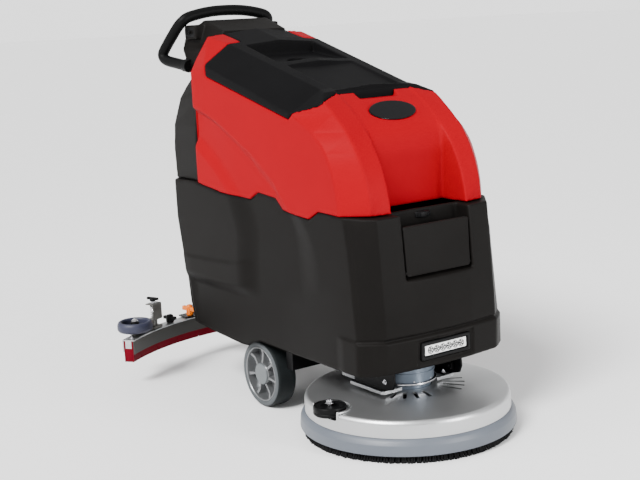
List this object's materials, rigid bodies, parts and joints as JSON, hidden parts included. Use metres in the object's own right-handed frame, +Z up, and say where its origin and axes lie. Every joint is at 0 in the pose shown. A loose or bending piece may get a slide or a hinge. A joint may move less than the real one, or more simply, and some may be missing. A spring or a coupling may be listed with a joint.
{
  "type": "floor scrubber",
  "caption": "Walk-behind floor scrubber with a round brush deck, black solution tank, red tipping recovery tank with lid, loop handle and lifted curved squeegee.",
  "frame": {"origin": "on the floor, below the middle of the machine's length and width", "axes": "+X forwards to the brush deck, +Y to the machine's left, +Z up"},
  "size_m": [1.193, 0.7446, 1.0365],
  "materials": {
    "black_metal": "semi-gloss powder coat",
    "dark_metal": "satin dark grey",
    "black_shell": "fine leather grain, satin",
    "black_plastic": "satin",
    "lamp": "clear lens over a white reflector",
    "steel": "brushed",
    "battery": "satin",
    "panel": "printed film, satin",
    "hose": "ribbed, satin",
    "tyre": "grey non-marking rubber",
    "rim": "painted silver",
    "deck_metal": "satin silver coat",
    "grey_rubber": "satin",
    "motor_grey": "satin blue-grey paint",
    "brush_plastic": "matt",
    "bristle": "black bristle",
    "red_rubber": "matt red rubber",
    "roller_grey": "satin grey-violet rubber",
    "orange_plastic": "satin orange",
    "red_shell": "semi-gloss moulded red",
    "gloss_black": "polished black",
    "green_plastic": "satin green"
  },
  "bodies": {
    "chassis": {"chassis_frame": "black_metal", "solution_tank": "black_shell", "headlight_housing": "black_plastic", "headlight_lens": "lamp", "transaxle": "steel", "battery_left": "battery", "battery_right": "battery", "console_neck": "black_shell", "control_panel": "panel", "vacuum_motor": "steel", "handle_loop": "black_plastic", "suction_hose": "hose", "drain_hose": "hose"},
    "fill_door": {"fill_door": "black_shell"},
    "wheel_left": {"tyre_left": "tyre", "rim_left": "rim"},
    "wheel_right": {"tyre_right": "tyre", "rim_right": "rim"},
    "caster": {"caster_fork": "steel"},
    "caster_wheel": {"caster_wheel": "black_plastic"},
    "deck_lower_link": {"deck_lower_link": "black_metal"},
    "deck_upper_link": {"deck_upper_link": "black_metal"},
    "deck": {"deck_cover": "deck_metal", "deck_skirt": "grey_rubber", "deck_plate": "steel", "deck_bracket_left": "black_metal", "deck_bracket_right": "black_metal", "brush_motor": "motor_grey"},
    "brush": {"brush_block": "brush_plastic", "brush_bristles": "bristle"},
    "bumper": {"bumper_roller": "black_plastic"},
    "squeegee_lower_arm": {"squeegee_lower_arm": "black_metal"},
    "squeegee_upper_arm": {"squeegee_upper_arm": "black_metal"},
    "squeegee_carrier": {"squeegee_carrier": "black_metal"},
    "squeegee": {"squeegee_channel": "steel", "squeegee_front_band": "dark_metal", "front_blade": "red_rubber", "rear_blade": "red_rubber", "squeegee_yoke": "black_metal", "suction_port": "black_plastic", "end_bracket_left": "steel", "end_bracket_right": "steel"},
    "recovery_tank": {"recovery_tank": "red_shell", "badge_plate": "gloss_black"},
    "lid": {"lid": "black_shell", "float_filter": "black_plastic"},
    "key_switch": {"key_switch": "black_plastic"},
    "brush_button": {"brush_button": "green_plastic"},
    "speed_knob": {"speed_knob": "black_plastic"},
    "drive_paddle": {"drive_paddle": "black_plastic"},
    "squeegee_lever": {"squeegee_lever": "black_metal"},
    "brush_pedal": {"brush_pedal": "black_metal"},
    "end_roller_left": {"end_roller_left": "roller_grey"},
    "height_knob_left": {"height_knob_left": "black_metal"},
    "clamp_knob_left": {"clamp_knob_left": "black_plastic"},
    "wing_knob_left": {"wing_knob_left": "orange_plastic"},
    "end_roller_right": {"end_roller_right": "roller_grey"},
    "height_knob_right": {"height_knob_right": "black_metal"},
    "clamp_knob_right": {"clamp_knob_right": "black_plastic"},
    "wing_knob_right": {"wing_knob_right": "orange_plastic"}
  },
  "joints": [
    {"name": "wheel_left_spin", "type": "hinge", "parent": "chassis", "child": "wheel_left", "pos_m": [-0.0425, 0.1565, 0.0875], "axis": [0, 1, 0], "continuous": true},
    {"name": "wheel_right_spin", "type": "hinge", "parent": "chassis", "child": "wheel_right", "pos_m": [-0.0425, -0.1565, 0.0875], "axis": [0, 1, 0], "continuous": true},
    {"name": "caster_swivel", "type": "hinge", "parent": "chassis", "child": "caster", "pos_m": [-0.2665, 0, 0.15], "axis": [0, 0, 1], "continuous": true},
    {"name": "caster_wheel_spin", "type": "hinge", "parent": "caster", "child": "caster_wheel", "pos_m": [-0.2915, 0, 0.0375], "axis": [0, 1, 0], "continuous": true},
    {"name": "deck_lift", "type": "hinge", "parent": "chassis", "child": "deck_lower_link", "pos_m": [0.0935, 0, 0.146], "axis": [0, -1, 0], "range_deg": [0, 5.5]},
    {"name": "deck_upper_pivot", "type": "hinge", "parent": "chassis", "child": "deck_upper_link", "pos_m": [0.0935, 0, 0.182], "axis": [0, -1, 0], "range_deg": [0, 5.5]},
    {"name": "deck_level", "type": "hinge", "parent": "deck_lower_link", "child": "deck", "pos_m": [0.3855, 0, 0.146], "axis": [0, -1, 0], "range_deg": [-5.5, 0]},
    {"name": "pedal_press", "type": "hinge", "parent": "chassis", "child": "brush_pedal", "pos_m": [-0.3245, 0.127, 0.16], "axis": [0, -1, 0], "range_deg": [0, 15.1]},
    {"name": "brush_spin", "type": "hinge", "parent": "deck", "child": "brush", "pos_m": [0.3335, 0, 0.06], "axis": [0, 0, 1], "continuous": true},
    {"name": "bumper_spin", "type": "hinge", "parent": "deck", "child": "bumper", "pos_m": [0.3375, -0.233, 0.1], "axis": [0, 0, 1], "continuous": true},
    {"name": "squeegee_lower", "type": "hinge", "parent": "chassis", "child": "squeegee_lower_arm", "pos_m": [-0.1665, 0, 0.146], "axis": [0, -1, 0], "range_deg": [0, 19]},
    {"name": "squeegee_upper_pivot", "type": "hinge", "parent": "chassis", "child": "squeegee_upper_arm", "pos_m": [-0.1665, 0, 0.17], "axis": [0, -1, 0], "range_deg": [0, 19]},
    {"name": "squeegee_level", "type": "hinge", "parent": "squeegee_lower_arm", "child": "squeegee_carrier", "pos_m": [-0.3815, 0, 0.146], "axis": [0, -1, 0], "range_deg": [-19, 0]},
    {"name": "squeegee_swing", "type": "hinge", "parent": "squeegee_carrier", "child": "squeegee", "pos_m": [-0.4015, 0, 0.14], "axis": [0, 0, 1], "range_deg": [-12, 12]},
    {"name": "squeegee_lever_turn", "type": "hinge", "parent": "chassis", "child": "squeegee_lever", "pos_m": [-0.4425, 0.06, 0.706], "axis": [0, -1, 0], "range_deg": [0, 57.1]},
    {"name": "recovery_tank_tilt", "type": "hinge", "parent": "chassis", "child": "recovery_tank", "pos_m": [-0.0005, 0.217, 0.5515], "axis": [-1, 0, 0], "range_deg": [0, 70]},
    {"name": "lid_open", "type": "hinge", "parent": "recovery_tank", "child": "lid", "pos_m": [-0.2585, 0, 0.966], "axis": [0, -1, 0], "range_deg": [0, 80]},
    {"name": "fill_door_open", "type": "hinge", "parent": "chassis", "child": "fill_door", "pos_m": [0.464, 0, 0.416], "axis": [0, 1, 0], "range_deg": [0, 60]},
    {"name": "key_turn", "type": "hinge", "parent": "chassis", "child": "key_switch", "pos_m": [-0.4099, -0.07, 0.96936], "axis": [-0.5508, 0, 0.8346], "range_deg": [0, 90]},
    {"name": "button_press", "type": "slide", "parent": "chassis", "child": "brush_button", "axis": [0.5508, 0, -0.8346], "range_m": [0, 0.002], "stiffness_N_per_m": 300},
    {"name": "speed_turn", "type": "hinge", "parent": "chassis", "child": "speed_knob", "pos_m": [-0.4099, 0.068, 0.96936], "axis": [-0.5508, 0, 0.8346], "range_deg": [-135, 135]},
    {"name": "paddle_squeeze", "type": "hinge", "parent": "chassis", "child": "drive_paddle", "pos_m": [-0.4565, 0, 0.914], "axis": [0, 1, 0], "range_deg": [0, 15], "stiffness_Nm_per_rad": 0.5},
    {"name": "end_roller_left_spin", "type": "hinge", "parent": "squeegee", "child": "end_roller_left", "pos_m": [-0.4865, 0.318, 0.17], "axis": [0, 0, 1], "continuous": true},
    {"name": "height_knob_left_turn", "type": "hinge", "parent": "squeegee", "child": "height_knob_left", "pos_m": [-0.5151, 0.2431, 0.15], "axis": [0, 0, 1], "continuous": true},
    {"name": "clamp_knob_left_turn", "type": "hinge", "parent": "squeegee", "child": "clamp_knob_left", "pos_m": [-0.5387, 0.1804, 0.15], "axis": [0, 0, 1], "continuous": true},
    {"name": "wing_knob_left_turn", "type": "hinge", "parent": "squeegee", "child": "wing_knob_left", "pos_m": [-0.5576, 0.1032, 0.15], "axis": [0, 0, 1], "continuous": true},
    {"name": "end_roller_right_spin", "type": "hinge", "parent": "squeegee", "child": "end_roller_right", "pos_m": [-0.4865, -0.318, 0.17], "axis": [0, 0, 1], "continuous": true},
    {"name": "height_knob_right_turn", "type": "hinge", "parent": "squeegee", "child": "height_knob_right", "pos_m": [-0.5151, -0.2431, 0.15], "axis": [0, 0, 1], "continuous": true},
    {"name": "clamp_knob_right_turn", "type": "hinge", "parent": "squeegee", "child": "clamp_knob_right", "pos_m": [-0.5387, -0.1804, 0.15], "axis": [0, 0, 1], "continuous": true},
    {"name": "wing_knob_right_turn", "type": "hinge", "parent": "squeegee", "child": "wing_knob_right", "pos_m": [-0.5576, -0.1032, 0.15], "axis": [0, 0, 1], "continuous": true}
  ],
  "couplings": [
    {"joint": "deck_upper_pivot", "follows": "deck_lift", "ratio": 1},
    {"joint": "deck_level", "follows": "deck_lift", "ratio": -1},
    {"joint": "pedal_press", "follows": "deck_lift", "ratio": 2.7273},
    {"joint": "squeegee_upper_pivot", "follows": "squeegee_lower", "ratio": 1},
    {"joint": "squeegee_level", "follows": "squeegee_lower", "ratio": -1},
    {"joint": "squeegee_lever_turn", "follows": "squeegee_lower", "ratio": 3}
  ]
}
